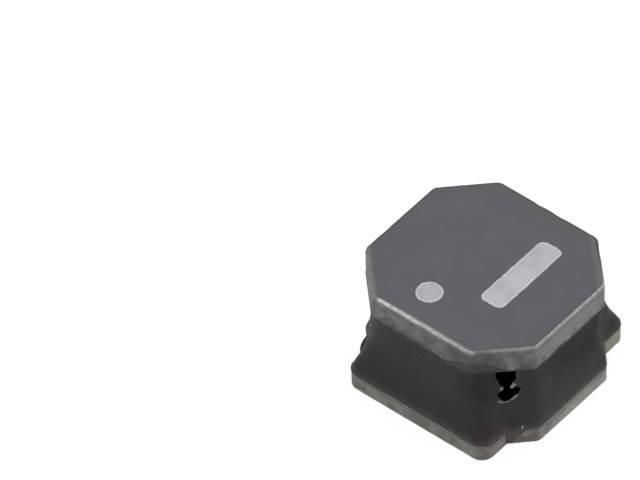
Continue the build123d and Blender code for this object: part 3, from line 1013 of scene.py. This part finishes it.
# Pale crumbs on the resin beside the void's neck, along its lower edge and above the near notch: how far
# along the wall from the void's middle line, how far below the flange, and how large each is
crumb_spots = [(0.15, 0.46, 1.0), (0.13, 0.50, 1.0), (0.11, 0.56, 1.1), (0.15, 0.53, 0.9)]
crumb_spots += [(0.19, 0.50, 0.6), (-0.105, 0.57, 1.1), (-0.13, 0.61, 0.6), (-0.16, 0.96, 0.9)]
crumb_spots += [(-0.10, 1.00, 1.0), (-0.03, 1.03, 0.8), (0.04, 1.02, 1.0), (0.11, 0.97, 0.8)]
crumb_spots += [(0.16, 0.93, 1.2), (0.21, 0.87, 0.9), (0.33, 1.77, 1.1)]
wall_corners = [corner.co for corner in resin_mesh.vertices]
wall_tree = BVHTree.FromPolygons(wall_corners, [face.vertices for face in resin_mesh.polygons])
out_way, side_way = Vector(void_out), Vector(void_along)
places = []
for along, drop, size in crumb_spots:
    level = Vector((0, 0, top_flange_bottom - drop))
    start = (out_way * plate_half_length * 2 + side_way * (void_shift + along) + level) * METRES
    places.append(wall_tree.ray_cast(start, -out_way)[0])
spots = bpy.data.meshes.new("crumb_spots")
spots.from_pydata(places, [], [])
store(spots, "crumb_size", [size for along, drop, size in crumb_spots])
place("resin_crumbs", grown("crumbs", spots, crumb_growth()), [grit], sharp=60)

turns = np.linspace(0, 2 * pi, 96, endpoint=False)
dot_loop = np.column_stack([np.cos(turns), np.sin(turns)]) * dot_radius + dot_place
place("dot_print", print_mesh("dot_print", dot_loop, 41), [ink], ["start_dot"])

bar_corners = np.array([(1, -1), (1, 1), (-1, 1), (-1, -1)]) * bar_half + bar_place
bar_loop = rounded_loop(bar_corners, [bar_corner] * 4, [60, 24, 60, 24])
place("bar_print", print_mesh("bar_print", bar_loop, 51), [ink], ["bar_mark"])

for node, material in (
    ("terminal_front", tin),
    ("terminal_back", tin),
    ("solder_front", solder),
    ("solder_back", solder),
):
    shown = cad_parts[node]
    shown.data.materials.clear()
    shown.data.materials.append(material)

# Floor and light, in metres
floor_reach = 0.6
floor_level = -2e-6


def floor_finish():
    """A pale floor that reads white to the camera and in reflections, and keeps the soft shadow."""
    f = Finish("floor")
    f.tree.nodes.remove(f.shader)
    matt = f.add("ShaderNodeBsdfDiffuse", {"Color": (0.82, 0.82, 0.82, 1)}).outputs[0]
    glow = f.add("ShaderNodeEmission", {"Color": (1, 1, 1, 1), "Strength": 1.23}).outputs[0]
    seen = f.add("ShaderNodeLightPath").outputs
    share = f.math("MULTIPLY", f.math("MAXIMUM", seen["Is Camera Ray"], seen["Is Glossy Ray"]), 0.72)
    both = f.add("ShaderNodeMixShader", {0: share, 1: matt, 2: glow}).outputs[0]
    f.feed(f.tree.nodes["Material Output"].inputs["Surface"], both)
    return f.material


floor_mesh = bpy.data.meshes.new("floor")
floor_corners = [(-1, -1), (1, -1), (1, 1), (-1, 1)]
floor_points = [(x * floor_reach, y * floor_reach, floor_level) for x, y in floor_corners]
floor_mesh.from_pydata(floor_points, [], [range(4)])
floor_mesh.materials.append(floor_finish())
floor = bpy.data.objects.new("floor", floor_mesh)
bpy.context.scene.collection.objects.link(floor)

world = bpy.data.worlds.new("studio")
world.use_nodes = True
bpy.context.scene.world = world
sky = Nodes(world.node_tree)
to_camera = sky.add("ShaderNodeLightPath").outputs["Is Camera Ray"]
level = sky.add("ShaderNodeMapRange", {"Value": to_camera, "To Min": 0.62, "To Max": 1.0})
backdrop = world.node_tree.nodes["Background"]
backdrop.inputs["Color"].default_value = (1, 1, 1, 1)
sky.feed(backdrop.inputs["Strength"], level.outputs["Result"])


def lamp(name, azimuth, elevation, distance, size, power):
    """A square soft lamp that points at the part."""
    data = bpy.data.lights.new(name, "AREA")
    data.shape = "SQUARE"
    data.size = size
    data.energy = power
    light = bpy.data.objects.new(name, data)
    bpy.context.scene.collection.objects.link(light)
    a, e = radians(azimuth), radians(elevation)
    back = Vector((sin(a) * cos(e), -cos(a) * cos(e), sin(e)))
    light.location = back * distance
    light.rotation_mode = "QUATERNION"
    light.rotation_quaternion = back.to_track_quat("Z", "Y")


lamp("right_softbox", 115, 28, 0.35, 0.22, 0.12)
lamp("left_softbox", -35, 30, 0.35, 0.22, 0.07)
lamp("overhead_softbox", 200, 70, 0.45, 0.30, 0.06)

# Camera, found from the photograph's edges: its right, down and away directions and its place
camera_data = bpy.data.cameras.new("camera")
camera_data.sensor_width = 36
camera_data.lens = 615.3
camera_data.clip_start = 0.01
camera_data.clip_end = 10
camera = bpy.data.objects.new("camera", camera_data)
bpy.context.scene.collection.objects.link(camera)
right_way = Vector((0.76810, 0.63993, -0.02261))
down_way = Vector((0.44949, -0.56400, -0.69272))
away_way = Vector((-0.45604, 0.52192, -0.72085))
turned = Matrix((right_way, -down_way, -away_way)).transposed()
camera.matrix_world = Matrix.Translation(Vector((106.50, -127.35, 176.64)) * METRES) @ turned.to_4x4()
bpy.context.scene.camera = camera
bpy.context.scene.view_settings.view_transform = "Standard"
